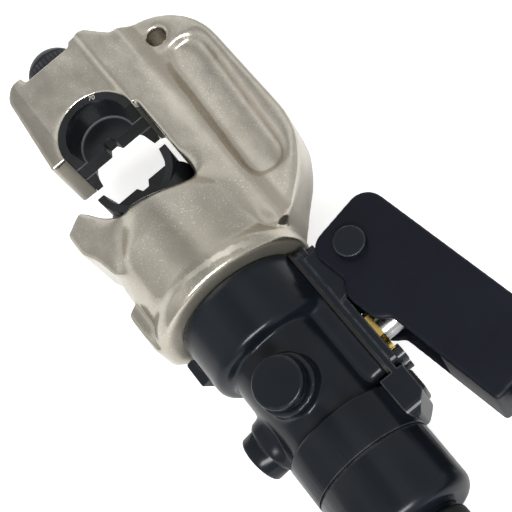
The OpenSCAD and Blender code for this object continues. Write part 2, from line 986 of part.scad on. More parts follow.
module fixed_grip() {
    room = grip_end - grip_start - 2 * grip_rib_in;
    color("#111214")
    difference() {
        union() {
            turned([
                [grip_start, 0, 0],
                [grip_start, grip_neck_r, grip_round],
                [(grip_start + grip_end) / 2, grip_r - grip_rib_h, grip_end - grip_start],
                [grip_end, grip_neck_r, grip_round / 2],
                [grip_end, 0, 0]
            ]);
            for (i = [0:grip_ribs - 1])
                grip_rib(grip_start + grip_rib_in + room * i / (grip_ribs - 1),
                    grip_neck_r - grip_rib_h, grip_r);
        }
        bar_x(grip_start - cut, grip_end + cut, grip_wall_r);
    }
}

module end_cap() {
    color("#1a1b1d")
    difference() {
        turned([
            [grip_end, 0, 0],
            [grip_end, grip_r, cut],
            [grip_end + cap_len, grip_r, cap_round],
            [grip_end + cap_len, 0, 0]
        ]);
        bar_x(grip_end - cut, grip_end + cap_len + cut, filler_r + seat_gap);
        bar_x(grip_end + cap_len - filler_head_h, grip_end + cap_len + cut, filler_head_r + seat_gap);
    }
}

module filler_screw() {
    color("#5a5c5e")
    difference() {
        union() {
            bar_x(grip_end, grip_end + cap_len - cut, filler_r);
            bar_x(grip_end + cap_len - filler_head_h + seat_gap, grip_end + cap_len, filler_head_r);
        }
        translate([grip_end + cap_len - plug_slot_depth, 0, 0])
            rotate([0, 90, 0])
                cylinder(r = plug_hex_r / 2, h = plug_slot_depth + cut, $fn = hex_sides);
    }
}

// Puts a piece into the lever's own frame, with the pivot as its origin
module on_lever() {
    translate([pivot_x, pivot_y, 0])
        rotate([0, 0, lever_open])
            children();
}

// Side view of the lever, with the lobe below its roller
module lever_outline() {
    polygon(rounded([
        [-lever_nose, lever_w - lever_below, lever_nose_r],
        [-lever_nose, -lever_below, lever_heel_r],
        [lobe_start, -lever_below, lobe_root_r],
        [lobe_start + lobe_drop, -lever_below - lobe_drop, lobe_r],
        [lobe_end - lobe_drop, -lever_below - lobe_drop, lobe_r],
        [lobe_end, -lever_below, lobe_root_r],
        [lever_len - lever_nose, -lever_below, lever_tail_r / 2],
        [lever_len - lever_nose, lever_w - lever_below, lever_tail_r]
    ]));
}

module lever_channel() {
    color("#141517")
    on_lever()
        difference() {
            linear_extrude(height = lever_t, center = true)
                lever_outline();
            // Inside of the channel, open along its lower edge as far as the tube's socket
            linear_extrude(height = lever_t - 2 * lever_wall, center = true)
                polygon(rounded([
                    [-lever_nose - cut, -lever_below - lobe_drop - cut, 0],
                    [-lever_nose - cut, lever_below - lever_wall, 0],
                    [-lever_nose + lever_wall, lever_w - lever_below - lever_wall, lever_nose_r / 2],
                    [lever_mouth - lever_nose, lever_w - lever_below - lever_wall, lever_nose_r / 2],
                    [lever_mouth - lever_nose, -lever_below - lobe_drop - cut, 0]
                ]));
            cylinder(r = pivot_r + run_fit, h = lever_t + 2 * cut, center = true);
            // Blind holes of the roller's pin
            translate([roller_arm, 0, 0])
                cylinder(r = roller_pin_r + seat_gap, h = lever_t - lever_wall, center = true);
            translate([0, lever_mid, 0])
                bar_x(lever_len - lever_nose - tube_in, lever_len, lever_tube_r + seat_gap);
        }
}

module push_roller() {
    color("#9a9c9e")
    on_lever()
        translate([roller_arm, 0, 0])
            difference() {
                cylinder(r = roller_r, h = 2 * roller_half, center = true);
                cylinder(r = roller_pin_r + run_fit, h = 2 * (roller_half + cut), center = true);
            }
}

module roller_pin() {
    color("#6f7173")
    on_lever()
        translate([roller_arm, 0, 0])
            cylinder(r = roller_pin_r, h = lever_t - lever_wall - 2 * seat_gap, center = true);
}

tube_x0 = lever_len - lever_nose - tube_in + seat_gap;
tube_x1 = tube_x0 + lever_tube_len;

module lever_tube() {
    color("#2a2b2d")
    on_lever()
        translate([0, lever_mid, 0])
            ring_x(tube_x0, tube_x1, lever_tube_r - lever_bore_wall, lever_tube_r);
}

module lever_grip() {
    grip_x0 = lever_len - lever_nose + lever_grip_start;
    room = tube_x1 - grip_x0 - 2 * grip_rib_in;
    color("#111214")
    on_lever()
        translate([0, lever_mid, 0])
            difference() {
                union() {
                    turned([
                        [grip_x0, 0, 0],
                        [grip_x0, lever_grip_r - grip_rib_h, grip_round],
                        [tube_x1, lever_grip_r - lever_grip_taper, grip_round / 2],
                        [tube_x1, 0, 0]
                    ]);
                    for (i = [0:grip_ribs - 1])
                        grip_rib(grip_x0 + grip_rib_in + room * i / (grip_ribs - 1),
                            lever_grip_r - lever_grip_taper - grip_rib_h, lever_grip_r);
                }
                bar_x(grip_x0 - cut, tube_x1 + cut, lever_tube_r + seat_gap);
            }
}

module lever_end_cap() {
    color("#1a1b1d")
    on_lever()
        translate([0, lever_mid, 0])
            turned([
                [tube_x1, 0, 0],
                [tube_x1, lever_grip_r - lever_grip_taper, cut],
                [tube_x1 + lever_cap_len, lever_grip_r - lever_grip_taper, cap_round],
                [tube_x1 + lever_cap_len, 0, 0]
            ]);
}

head_frame();
upper_die();
lower_die();
ram();
ram_seal();
ram_die_pin();
ram_return_spring();
die_release_button();
button_spring();
head_retaining_ring();
swivel_seal();
cylinder_body();
front_plug();
side_plug();
flange_gasket();
flange_plate();
pivot_bracket();
bracket_screws();
pivot_pin();
pivot_circlip();
plunger_gland();
pump_plunger();
plunger_seal();
check_ball();
relief_valve();
release_lever();
release_pin();
release_valve();
reservoir_collar();
reservoir_sleeve();
handle_tube();
oil_bladder();
fixed_grip();
end_cap();
filler_screw();
lever_channel();
push_roller();
roller_pin();
lever_tube();
lever_grip();
lever_end_cap();
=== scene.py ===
"""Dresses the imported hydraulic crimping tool: finishes, soft forged forms, stage and camera."""
import math

import bpy
from mathutils import Matrix, Vector


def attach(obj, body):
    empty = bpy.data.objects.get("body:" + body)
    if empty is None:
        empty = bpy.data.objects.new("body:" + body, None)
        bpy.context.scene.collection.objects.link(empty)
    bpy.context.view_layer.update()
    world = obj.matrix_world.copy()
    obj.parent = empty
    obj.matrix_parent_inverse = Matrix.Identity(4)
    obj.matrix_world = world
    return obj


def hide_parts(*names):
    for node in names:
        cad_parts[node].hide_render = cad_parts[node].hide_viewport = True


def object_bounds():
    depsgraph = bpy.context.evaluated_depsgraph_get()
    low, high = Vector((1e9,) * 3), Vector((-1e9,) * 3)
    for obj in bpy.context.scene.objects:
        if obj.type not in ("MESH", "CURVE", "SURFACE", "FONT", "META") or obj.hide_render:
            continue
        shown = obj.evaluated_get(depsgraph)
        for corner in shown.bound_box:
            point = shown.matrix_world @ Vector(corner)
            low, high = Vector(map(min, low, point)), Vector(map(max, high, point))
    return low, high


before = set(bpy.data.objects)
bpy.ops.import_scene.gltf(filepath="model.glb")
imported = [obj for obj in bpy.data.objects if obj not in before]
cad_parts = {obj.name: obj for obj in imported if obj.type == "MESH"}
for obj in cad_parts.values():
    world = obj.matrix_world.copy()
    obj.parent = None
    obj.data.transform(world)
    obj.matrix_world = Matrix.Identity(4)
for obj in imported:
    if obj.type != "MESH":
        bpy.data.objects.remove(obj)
CAD_LOW, CAD_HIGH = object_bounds()

bl_info = {
    "name": "Hydraulic crimping tool",
    "version": (1, 0, 0),
    "blender": (4, 5, 0),
    "location": "View3D > Sidebar > Crimper",
    "description": "Finishes, soft forms and stage of a hand pumped crimping tool",
    "category": "Object",
}

MM = 0.001
PHOTO_PIXELS = 512


# Sizes and colours that a user would change

class CrimperSizes(bpy.types.PropertyGroup):
    """Sizes of the soft forms"""
    head_grid: bpy.props.FloatProperty(
        name="Head grid", description="Cell size of the forged head's mesh",
        default=0.9 * MM, unit="LENGTH")
    head_soft: bpy.props.IntProperty(
        name="Head softness", description="Smoothing passes on the forged edges", default=16)
    web_soft: bpy.props.IntProperty(
        name="Web softness", description="Smoothing passes on the rib, the pocket and the saddle",
        default=140)
    bead_soft: bpy.props.IntProperty(
        name="Bead softness", description="Smoothing passes on the bead at the collar's end",
        default=30)
    cast_soft: bpy.props.IntProperty(
        name="Cast softness", description="Smoothing passes on the pump's cast skin", default=18)
    lever_grid: bpy.props.FloatProperty(
        name="Lever grid", description="Cell size of the lever's mesh",
        default=0.8 * MM, unit="LENGTH")
    lever_soft: bpy.props.IntProperty(
        name="Lever softness", description="Smoothing passes on the lever's pressed edges",
        default=14)
    rib_count: bpy.props.IntProperty(
        name="Grip ribs", description="Rubber rings on the fixed grip", default=22)
    lever_rib_count: bpy.props.IntProperty(
        name="Lever grip ribs", description="Rubber rings on the lever grip", default=22)
    edge_wear: bpy.props.FloatProperty(
        name="Edge wear", description="Width of the broken edges on turned and milled pieces",
        default=0.5 * MM, unit="LENGTH")
    rib_thick: bpy.props.FloatProperty(
        name="Rib thickness", description="Radius of a rubber ring",
        default=1.3 * MM, unit="LENGTH")


class CrimperColours(bpy.types.PropertyGroup):
    """Colours of the finishes"""
    nickel: bpy.props.FloatVectorProperty(
        name="Nickel", description="Plated forging", subtype="COLOR", size=3,
        default=(0.60, 0.565, 0.49))
    paint: bpy.props.FloatVectorProperty(
        name="Paint", description="Black satin paint on the pump", subtype="COLOR", size=3,
        default=(0.0046, 0.0066, 0.0096))
    lever: bpy.props.FloatVectorProperty(
        name="Lever", description="Black powder coat on the lever", subtype="COLOR", size=3,
        default=(0.0030, 0.0038, 0.0078))
    oxide: bpy.props.FloatVectorProperty(
        name="Oxide", description="Black oxide on the dies", subtype="COLOR", size=3,
        default=(0.0080, 0.0092, 0.0112))
    rubber: bpy.props.FloatVectorProperty(
        name="Rubber", description="Grips", subtype="COLOR", size=3,
        default=(0.006, 0.006, 0.0063))
    steel: bpy.props.FloatVectorProperty(
        name="Steel", description="Bare ground steel", subtype="COLOR", size=3,
        default=(0.52, 0.52, 0.53))
    brass: bpy.props.FloatVectorProperty(
        name="Brass", description="Gland and valves", subtype="COLOR", size=3,
        default=(0.78, 0.55, 0.16))


# Shader maths

class Field:
    """A value over a surface. Arithmetic on it adds Math nodes."""

    def __init__(self, finish, socket):
        self.finish = finish
        self.socket = socket

    def _math(self, operation, first, second):
        return self.finish.node("ShaderNodeMath", {"operation": operation}, {0: first, 1: second})

    def __add__(self, other):
        return self._math("ADD", self, other)

    def __sub__(self, other):
        return self._math("SUBTRACT", self, other)

    def __mul__(self, other):
        return self._math("MULTIPLY", self, other)

    def __pow__(self, other):
        return self._math("POWER", self, other)


class Finish:
    """A procedural material, or the world that is given as owner."""

    def __init__(self, name, owner=None):
        self.material = owner or bpy.data.materials.new(name)
        self.material.use_nodes = True
        self.tree = self.material.node_tree
        self.tree.nodes.clear()
        self.place = self.node("ShaderNodeTexCoord", out="Generated" if owner else "Object")

    def node(self, kind, settings=None, sockets=None, out=0):
        """Adds a node, its settings first and then its sockets, and gives one output."""
        made = self.tree.nodes.new(kind)
        for key, value in (settings or {}).items():
            setattr(made, key, value)
        for key, value in (sockets or {}).items():
            if isinstance(value, Field):
                self.tree.links.new(value.socket, made.inputs[key])
            else:
                made.inputs[key].default_value = value
        return Field(self, made.outputs[out]) if made.outputs else None

    def noise(self, scale, detail=3.0, rough=0.5, seed=0.0):
        """Soft noise whose cells are about 1/scale metres."""
        return self.node(
            "ShaderNodeTexNoise", {"noise_dimensions": "4D"},
            {"Vector": self.place, "W": seed, "Scale": scale, "Detail": detail, "Roughness": rough})

    def spread(self, field, low, high, to_low=0.0, to_high=1.0):
        """A field between two values, kept inside its new range."""
        return self.node(
            "ShaderNodeMapRange", {"clamp": True},
            {"Value": field, "From Min": low, "From Max": high,
             "To Min": to_low, "To Max": to_high})

    def zone(self, place, span):
        """0 at the span's first place in mm, 1 at its second."""
        return self.spread(place, span[0] * MM, span[1] * MM)

    def blend(self, amount, first, second):
        """A colour between two colours."""
        pair = {6: first, 7: second}
        for key, value in pair.items():
            if not isinstance(value, Field):
                pair[key] = (*value, 1.0)
        return self.node(
            "ShaderNodeMix", {"data_type": "RGBA"}, {0: amount, **pair}, out=2)

    def specks(self, scale, low, high):
        """Cells of about 1/scale metres, of which only the luckiest count."""
        cell = self.node(
            "ShaderNodeTexVoronoi", None, {"Vector": self.place, "Scale": scale}, out="Color")
        luck = self.node("ShaderNodeSeparateColor", None, {0: cell}, out="Red")
        return self.spread(luck, low, high)

    def edges(self, width, low, high):
        """1 along edges that turn within a width, 0 on open faces."""
        turned = self.node(
            "ShaderNodeBevel", {"samples": BEVEL_SAMPLES}, {"Radius": width}, out="Normal")
        flat = self.node("ShaderNodeNewGeometry", out="Normal")
        same = self.node(
            "ShaderNodeVectorMath", {"operation": "DOT_PRODUCT"}, {0: turned, 1: flat}, out="Value")
        return self.spread(same, low, high)

    def axis(self, letter):
        """One coordinate of the place."""
        return self.node("ShaderNodeSeparateXYZ", None, {0: self.place}, out=letter)

    def bump(self, height, depth, strength):
        """A normal from a height. A height of 1 stands a depth out."""
        return self.node(
            "ShaderNodeBump", None,
            {"Height": height, "Distance": depth, "Strength": strength}, out="Normal")

    def surface(self, **sockets):
        """Ends the material in its shader. Words in the socket names are joined by underscores."""
        named = {key.replace("_", " ").title().replace("Ior", "IOR"): value
                 for key, value in sockets.items()}
        shader = self.node("ShaderNodeBsdfPrincipled", None, named)
        self.node("ShaderNodeOutputMaterial", None, {"Surface": shader})
        return self.material


def scaled(colour, share):
    """A colour made darker or lighter."""
    return tuple(min(1.0, c * share) for c in colour)


def tinted(colour, shares):
    """A colour with its own share for red, green and blue."""
    return tuple(c * share for c, share in zip(colour, shares))


# Finishes

# Zones of the forging, from none to all of an effect, as places along X and across Y in mm
# Darker towards the collar end of the barrel, along X and across Y
COLLAR_DARK_ALONG, COLLAR_DARK_ACROSS = (45.0, 85.0), (44.0, 30.0)
MILLED_ALONG, MILLED_ACROSS = (2.0, 1.0), (-18.6, -19.4)
# The throat's wall beside the upper die, where a painted shadow makes the plating nearly black
THROAT_ALONG, THROAT_HIGH = (6.0, 3.0), (16.6, 15.8)
THROAT_RISE, THROAT_FALL = (21.2, 21.6), (24.1, 23.8)
TURNED_ALONG = (110.2, 110.7)
# The rib's slope band and the long pocket's wall carry painted shade, and the wall also a darker
# skin
SLOPE_RISE, SLOPE_FALL = (40.5, 42.5), (48.5, 46.0)
POCKET_START, POCKET_END = (-4.0, 58.0), (64.5, 53.2)
WALL_RISE, WALL_FALL = (7.5, 9.5), (13.0, 11.5)
WALL_ALONG, WALL_ACROSS = (0.0, 14.0), (46.0, 49.0)
# A painted highlight streak on the bead at the collar's end
STREAK_RISE, STREAK_FALL = (104.2, 105.2), (108.4, 107.4)
STREAK_FROM, STREAK_TO = (-17.0, -8.0), (24.0, 14.0)
STREAK_RAGGED = 4.0
STREAK_LEAN = 0.12
# Shares of the plating's colour
STAIN_TINT = (0.82, 0.78, 0.72)
COLLAR_DARK_TINT = (0.62, 0.62, 0.58)
# Painted shade on the slope band and the pocket wall, with a darker skin on the wall
SHADE_AND_SKIN_TINT = (0.62, 0.56, 0.52)
# The painted highlight on the fillet in the die's recess, in mm: distance from the middle plane and
# from the axis
FILLET_RISE, FILLET_FALL = (5.3, 5.6), (6.7, 6.1)
FILLET_OUT, FILLET_ALONG = (14.0, 14.6), (30.0, 28.0)
FILLET_HIGHLIGHT_COLOUR = (0.14, 0.145, 0.15)
# Worn edges of the black paint
BEVEL_SAMPLES = 4
WORN_WIDTH = 1.0
WORN_TURN = (0.997, 0.94)
WORN_COLOUR = (0.085, 0.09, 0.096)
MARK_COLOUR = (0.42, 0.42, 0.41)


def pocket_wall(f, along, across):
    """The wall of the long pocket, by the distance from its middle line."""
    far = f.zone(along, (POCKET_START[0], POCKET_END[0]))
    out_x, out_y = (
        place - far * ((end - start) * MM) - start * MM
        for place, start, end in zip((along, across), POCKET_START, POCKET_END))
    out = (out_x * out_x + out_y * out_y) ** 0.5
    return (f.zone(out, WALL_RISE) * f.zone(out, WALL_FALL)
            * f.zone(along, WALL_ALONG) * f.zone(across, WALL_ACROSS))


def nickel_forging():
    """Plated forging: fine grain, cloudy tone, patches of painted glints, painted shade and a
    painted highlight streak.
    """
    colour = tuple(bpy.context.scene.crimper_colours.nickel)
    f = Finish("nickel_forging")
    along, across, high = (f.axis(letter) for letter in "XYZ")
    grain = f.noise(1500.0, 2.0, 0.6)
    cloud = f.noise(38.0, 4.0, 0.6, seed=7.0)
    dents = f.noise(70.0, 1.0, 0.4, seed=11.0)
    patch = f.spread(f.noise(48.0, 2.0, 0.5, seed=19.0), 0.42, 0.62, 0.25, 1.0)
    # Painted glints: random specks where the plating's colour is made twice as bright and a little
    # glossier
    glint_specks = (f.specks(2800.0, 0.955, 0.985) + f.specks(1250.0, 0.990, 0.995) * 0.3) * patch
    tone = f.spread(grain, 0.3, 0.7) * 0.22 + f.spread(cloud, 0.32, 0.68) * 0.78
    stain = f.spread(f.noise(16.0, 2.0, 0.5, seed=3.0), 0.42, 0.68)
    # Darker towards the collar end of the barrel
    collar_darkening = f.zone(along, COLLAR_DARK_ALONG) * f.zone(across, COLLAR_DARK_ACROSS)
    milled = f.zone(along, MILLED_ALONG) * f.zone(across, MILLED_ACROSS)
    # Painted shadow on the throat's wall beside the upper die
    throat_shadow = (f.zone(across, THROAT_FALL) * f.zone(across, THROAT_RISE)
              * f.zone(high, THROAT_HIGH) * f.zone(along, THROAT_ALONG))
    turned = f.zone(along, TURNED_ALONG)
    slope = f.zone(across, SLOPE_RISE) * f.zone(across, SLOPE_FALL)
    wall = pocket_wall(f, along, across)
    # Painted shade on the rib's slope band and the pocket wall, where the wall also has a darker
    # skin
    skin = f.spread(slope + wall, 0.0, 1.0) * f.spread(cloud, 0.2, 0.6, 0.6, 1.0)
    # Painted highlight: a ragged, bright and glossier streak on the bead
    ragged = (along + f.noise(420.0, 3.0, 0.6, seed=23.0) * (STREAK_RAGGED * MM)
              - across * STREAK_LEAN)
    highlight_streak = (f.zone(ragged, STREAK_RISE) * f.zone(ragged, STREAK_FALL)
              * (f.zone(across, STREAK_FROM) * f.zone(across, STREAK_TO)))
    base = f.blend(tone, scaled(colour, 0.74), scaled(colour, 1.2))
    for amount, over in (
            (stain * 0.4, tinted(colour, STAIN_TINT)),
            (collar_darkening * 0.55, tinted(colour, COLLAR_DARK_TINT)),
            (glint_specks * 0.6, scaled(colour, 2.0)),
            (milled * 0.45, scaled(colour, 0.45)),
            (throat_shadow * 0.9, scaled(colour, 0.04)),
            (skin * 0.5, tinted(colour, SHADE_AND_SKIN_TINT)),
            (highlight_streak * 0.7, scaled(colour, 1.6))):
        base = f.blend(amount, base, over)
    rough = f.spread(grain, 0.3, 0.7, 0.18, 0.27)
    return f.surface(
        base_color=base, metallic=0.94,
        roughness=rough - glint_specks * 0.08 - highlight_streak * 0.08 + turned * 0.22,
        normal=f.bump(grain * 0.22 + cloud * 2.0 + dents * 5.0, 0.3 * MM, 0.45))


def satin_black(name, colour, rough=0.22, grain=900.0, depth=0.05, gloss=0.22):
    """Black finish with a faint orange peel, uneven sheen and edges worn in places."""
    f = Finish(name)
    peel = f.noise(grain, 2.0, 0.5)
    cloud = f.noise(30.0, 3.0, 0.5, seed=5.0)
    places = f.spread(f.noise(220.0, 2.0, 0.5, seed=8.0), 0.35, 0.65, 0.25, 1.0)
    worn = f.edges(WORN_WIDTH * MM, *WORN_TURN) * places
    base = f.blend(f.spread(cloud, 0.3, 0.7), scaled(colour, 0.8), scaled(colour, 1.3))
    return f.surface(
        base_color=f.blend(worn * 0.8, base, WORN_COLOUR),
        roughness=f.spread(cloud, 0.3, 0.7, rough - 0.05, rough + 0.06) - worn * 0.06,
        specular_ior_level=gloss,
        normal=f.bump(peel, depth * MM, 0.3))


def black_oxide():
    """Black oxide on machined steel, with a painted highlight on the fillet of the die's recess."""
    colour = tuple(bpy.context.scene.crimper_colours.oxide)
    f = Finish("black_oxide")
    cloud = f.noise(60.0, 3.0, 0.5)
    fine = f.noise(2400.0, 1.0, 0.5, seed=2.0)
    along, across, high = (f.axis(letter) for letter in "XYZ")
    deep = (high * high) ** 0.5
    near_axis = (along * along + across * across) ** 0.5
    # Painted highlight along the fillet of the die's recess
    fillet = (f.zone(deep, FILLET_RISE) * f.zone(deep, FILLET_FALL)
              * f.zone(near_axis, FILLET_OUT) * f.zone(along, FILLET_ALONG))
    base = f.blend(f.spread(cloud, 0.35, 0.7), scaled(colour, 0.85), scaled(colour, 1.5))
    return f.surface(
        base_color=f.blend(fillet, base, FILLET_HIGHLIGHT_COLOUR),
        metallic=0.3, roughness=f.spread(cloud, 0.3, 0.7, 0.20, 0.32),
        specular_ior_level=0.6, normal=f.bump(fine, 0.05 * MM, 0.3))


def bare_metal(name, colour, rough):
    """Turned or ground metal with fine drawn lines."""
    f = Finish(name)
    lines = f.noise(700.0, 2.0, 0.6)
    cloud = f.noise(90.0, 3.0, 0.5, seed=4.0)
    return f.surface(
        base_color=f.blend(f.spread(cloud, 0.3, 0.7), scaled(colour, 0.85), scaled(colour, 1.08)),
        metallic=1.0, roughness=f.spread(lines, 0.3, 0.7, rough - 0.06, rough + 0.08))


def moulded_rubber():
    """Dull rubber with a fine grain."""
    colour = tuple(bpy.context.scene.crimper_colours.rubber)
    f = Finish("moulded_rubber")
    grain = f.noise(1400.0, 2.0, 0.5)
    cloud = f.noise(60.0, 3.0, 0.5, seed=9.0)
    return f.surface(
        base_color=f.blend(f.spread(cloud, 0.3, 0.7), scaled(colour, 0.8), scaled(colour, 1.5)),
        roughness=f.spread(grain, 0.3, 0.7, 0.55, 0.72),
        specular_ior_level=0.3, normal=f.bump(grain, 0.1 * MM, 0.4))


FINISHES = {}


def finish_of(key):
    """A finish by its key, made on first use."""
    colours = bpy.context.scene.crimper_colours
    makers = {
        "nickel": nickel_forging,
        "black_oxide": black_oxide,
        "black_paint": lambda: satin_black("black_paint", tuple(colours.paint)),
        "lever_coat": lambda: satin_black(
            "lever_coat", tuple(colours.lever), 0.42, 1500.0, 0.04, 0.17),
        "black_plastic": lambda: satin_black(
            "black_plastic", tuple(colours.paint), 0.4, 1200.0, 0.06, 0.4),
        "mark_fill": lambda: satin_black("mark_fill", MARK_COLOUR, 0.5),
        "rubber": moulded_rubber,
        "steel": lambda: bare_metal("ground_steel", tuple(colours.steel), 0.28),
        "brass": lambda: bare_metal("turned_brass", tuple(colours.brass), 0.24),
    }
    if key not in FINISHES:
        FINISHES[key] = makers[key]()
    return FINISHES[key]


def coat(key, *nodes):
    """Gives CAD nodes their finish."""
    for node in nodes:
        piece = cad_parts[node]
        piece.data.materials.clear()
        piece.data.materials.append(finish_of(key))


WELD_GAP = 0.01 * MM
EDGE_ANGLE = math.radians(40.0)


def weld(piece):
    """Joins the corners that the faces of a CAD mesh share."""
    piece.modifiers.new("weld", "WELD").merge_threshold = WELD_GAP


def worn_edges(width, *nodes):
    """Breaks the sharp edges of CAD nodes."""
    for node in nodes:
        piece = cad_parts[node]
        weld(piece)
        bevel = piece.modifiers.new("bevel", "BEVEL")
        bevel.width = width
        bevel.segments = 2
        bevel.limit_method = "ANGLE"
        bevel.angle_limit = EDGE_ANGLE
        bevel.harden_normals = True


# Pieces

def baked(piece):
    """The same piece with its modifiers, or its words, turned into a plain mesh."""
    bpy.context.view_layer.update()
    graph = bpy.context.evaluated_depsgraph_get()
    mesh = bpy.data.meshes.new_from_object(piece.evaluated_get(graph))
    name = piece.name
    piece.modifiers.clear()
    bpy.data.objects.remove(piece)
    return new_piece(name, mesh)


def new_piece(name, mesh):
    """An object at the origin, in the scene."""
    piece = bpy.data.objects.new(name, mesh)
    bpy.context.scene.collection.objects.link(piece)
    return piece


def everywhere(p):
    """The same weight at every place."""
    return 1.0


def smooth_faces(piece):
    for face in piece.data.polygons:
        face.use_smooth = True


def keep_piece(piece, body, key, *nodes):
    """Finishes a made piece: its material, the body it rides on and what it stands for."""
    piece.data.materials.clear()
    piece.data.materials.append(finish_of(key))
    for face in piece.data.polygons:
        face.material_index = 0
    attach(piece, body)
    if nodes:
        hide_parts(*nodes)
    return piece


LAST_PASSES = 2
SMOOTH_FACTOR = 0.5


def soft_copy(name, node, grid, *softenings):
    """A copy of a CAD solid with soft edges, from pairs of passes and a weight over the places."""
    piece = new_piece(name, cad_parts[node].data.copy())
    weld(piece)
    remesh = piece.modifiers.new("remesh", "REMESH")
    remesh.mode = "VOXEL"
    remesh.voxel_size = grid
    piece = baked(piece)
    for number, (passes, weight) in enumerate((*softenings, (LAST_PASSES, everywhere))):
        group = piece.vertex_groups.new(name="soft%d" % number)
        for vertex in piece.data.vertices:
            group.add([vertex.index], weight(vertex.co / MM), "REPLACE")
        smooth = piece.modifiers.new("soften%d" % number, "SMOOTH")
        smooth.factor = SMOOTH_FACTOR
        smooth.iterations = passes
        smooth.vertex_group = group.name
    piece = baked(piece)
    piece.vertex_groups.clear()
    smooth_faces(piece)
    return piece


def open_bore(piece, axis, centre, radius, low, high):
    """Widens a bore of a soft copy, in mm, so that what slides in it stays clear."""
    first, second = (i for i in range(3) if i != axis)
    for vertex in piece.data.vertices:
        co = vertex.co / MM
        away = math.hypot(co[first] - centre[first], co[second] - centre[second])
        if low < co[axis] < high and 0.0 < away < radius:
            for i in (first, second):
                co[i] = centre[i] + (co[i] - centre[i]) * radius / away
            vertex.co = co * MM


def near(value, edge, width):
    """0 up to an edge, 1 from a width beyond it."""
    return max(0.0, min(1.0, (value - edge) / width))


def within(value, low, low_width, high, high_width):
    """1 between two edges, fading to 0 towards each."""
    return near(value, low, low_width) * near(-value, -high, high_width)


# Size number on the upper die
DIE_SIZE_MARK = "70"
MARK_HEIGHT = 3.6 * MM
MARK_THICK = 0.03 * MM
MARK_RADIUS = 19.1 * MM
MARK_ANGLE = math.radians(156.0)
DIE_FACE_Z = 21.0 * MM
# Rows of rings, the lever's by its own axes from the pivot
LEVER_PIVOT = Vector((131.8, 56.0, 0.0)) * MM
LEVER_OPEN = math.radians(10.0)
LEVER_AXIS = 5.8 * MM
LEVER_RIB_FIRST = 121.0 * MM
LEVER_RIB_LAST = 262.05 * MM
LEVER_RIB_R = 16.0 * MM
GRIP_RIB_FIRST = 266.0 * MM
GRIP_RIB_LAST = 406.0 * MM
GRIP_RIB_R = 20.4 * MM
RING_SIDES = 64
RIB_SIDES = 10
# Bores of the soft copies, in mm
BUTTON_AXIS = (0.0, 1.0, 0.0)
BUTTON_BORE_R = 4.4
BUTTON_BORE_END = 56.0
BUTTON_NOTCH_R = 14.4
BUTTON_NOTCH_END = 51.15
PUMP_AXIS = (165.28, 0.0, 0.0)
PUMP_BORE_R = 6.4
PUMP_BORE_SPAN = (6.8, 32.0)
# Edges and widths of what is softened, in mm
SEAT_R, SEAT_END = (21.4, 1.5), 2.0
BORE_R, BORE_START = (31.0, 2.0), 100.0
COLLAR_END = (-109.5, 3.0)
BUTTON_R, BUTTON_END = (14.5, 2.0), -20.0
HANG_X, HANG_Y = -24.3, 52.0
HANG_R = (7.0, 4.0)
WEB_X = (-16.0, 6.0, 96.0, 8.0)
WEB_Y = (33.0, 5.0, 72.0, 4.0)
WEB_Z = (8.0, 4.0)
BARREL_X = (38.0, 6.0, 92.0, 8.0)
BARREL_Y = (-36.0, 6.0, 40.0, 4.0)
BARREL_R = (27.0, 3.0)
BEAD_X = (97.0, 4.0)
BEAD_R = (35.0, 2.0)
SKIN_X = (112.5, 1.5)
SKIN_R = (24.5, 1.0)
SKIN_TOP = (-30.0, 2.0)
PUMP_R = (10.0, 2.0)


def head_weight(p):
    """Forged skin is soft, machined seats and bores stay crisp."""
    seat = near(math.hypot(p.x, p.y), *SEAT_R) if p.x < SEAT_END else 1.0
    bore = near(math.hypot(p.y, p.z), *BORE_R) if p.x > BORE_START else 1.0
    end = near(-p.x, *COLLAR_END)
    button = near(math.hypot(p.y - BUTTON_AXIS[1], p.z), *BUTTON_R) if p.x < BUTTON_END else 1.0
    return min(seat, bore, end, button)


def web_weight(p):
    """The rib and the long pocket flow into each other, away from the outer edge and the hole."""
    hole = near(math.hypot(p.x - HANG_X, p.y - HANG_Y), *HANG_R)
    return within(p.y, *WEB_Y) * near(abs(p.z), *WEB_Z) * within(p.x, *WEB_X) * hole


def barrel_weight(p):
    """The saddle flows into the barrel."""
    return (within(p.x, *BARREL_X) * near(math.hypot(p.y, p.z), *BARREL_R)
            * within(p.y, *BARREL_Y))


def bead_weight(p):
    """The bead at the collar's end is rolled over."""
    return near(p.x, *BEAD_X) * near(math.hypot(p.y, p.z), *BEAD_R)


def skin_weight(p):
    """Cast skin outside the bores and the seats of other pieces."""
    pump = near(math.hypot(p.x - PUMP_AXIS[0], p.z), *PUMP_R) if p.y > 0.0 else 1.0
    return near(math.hypot(p.y, p.z), *SKIN_R) * near(-p.y, *SKIN_TOP) * near(p.x, *SKIN_X) * pump


class CRIMPER_OT_head(bpy.types.Operator):
    """Makes the forged head with its soft worn edges"""
    bl_idname = "crimper.head"
    bl_label = "Forged head"

    def execute(self, context):
        sizes = context.scene.crimper_sizes
        piece = soft_copy(
            "forged_head", "head_frame", sizes.head_grid, (sizes.head_soft, head_weight),
            (sizes.web_soft, web_weight), (sizes.web_soft, barrel_weight),
            (sizes.bead_soft, bead_weight))
        open_bore(piece, 0, BUTTON_AXIS, BUTTON_BORE_R, -BUTTON_BORE_END, 0.0)
        open_bore(piece, 0, BUTTON_AXIS, BUTTON_NOTCH_R, -BUTTON_BORE_END, -BUTTON_NOTCH_END)
        keep_piece(piece, "head", "nickel", "head_frame")
        return {"FINISHED"}


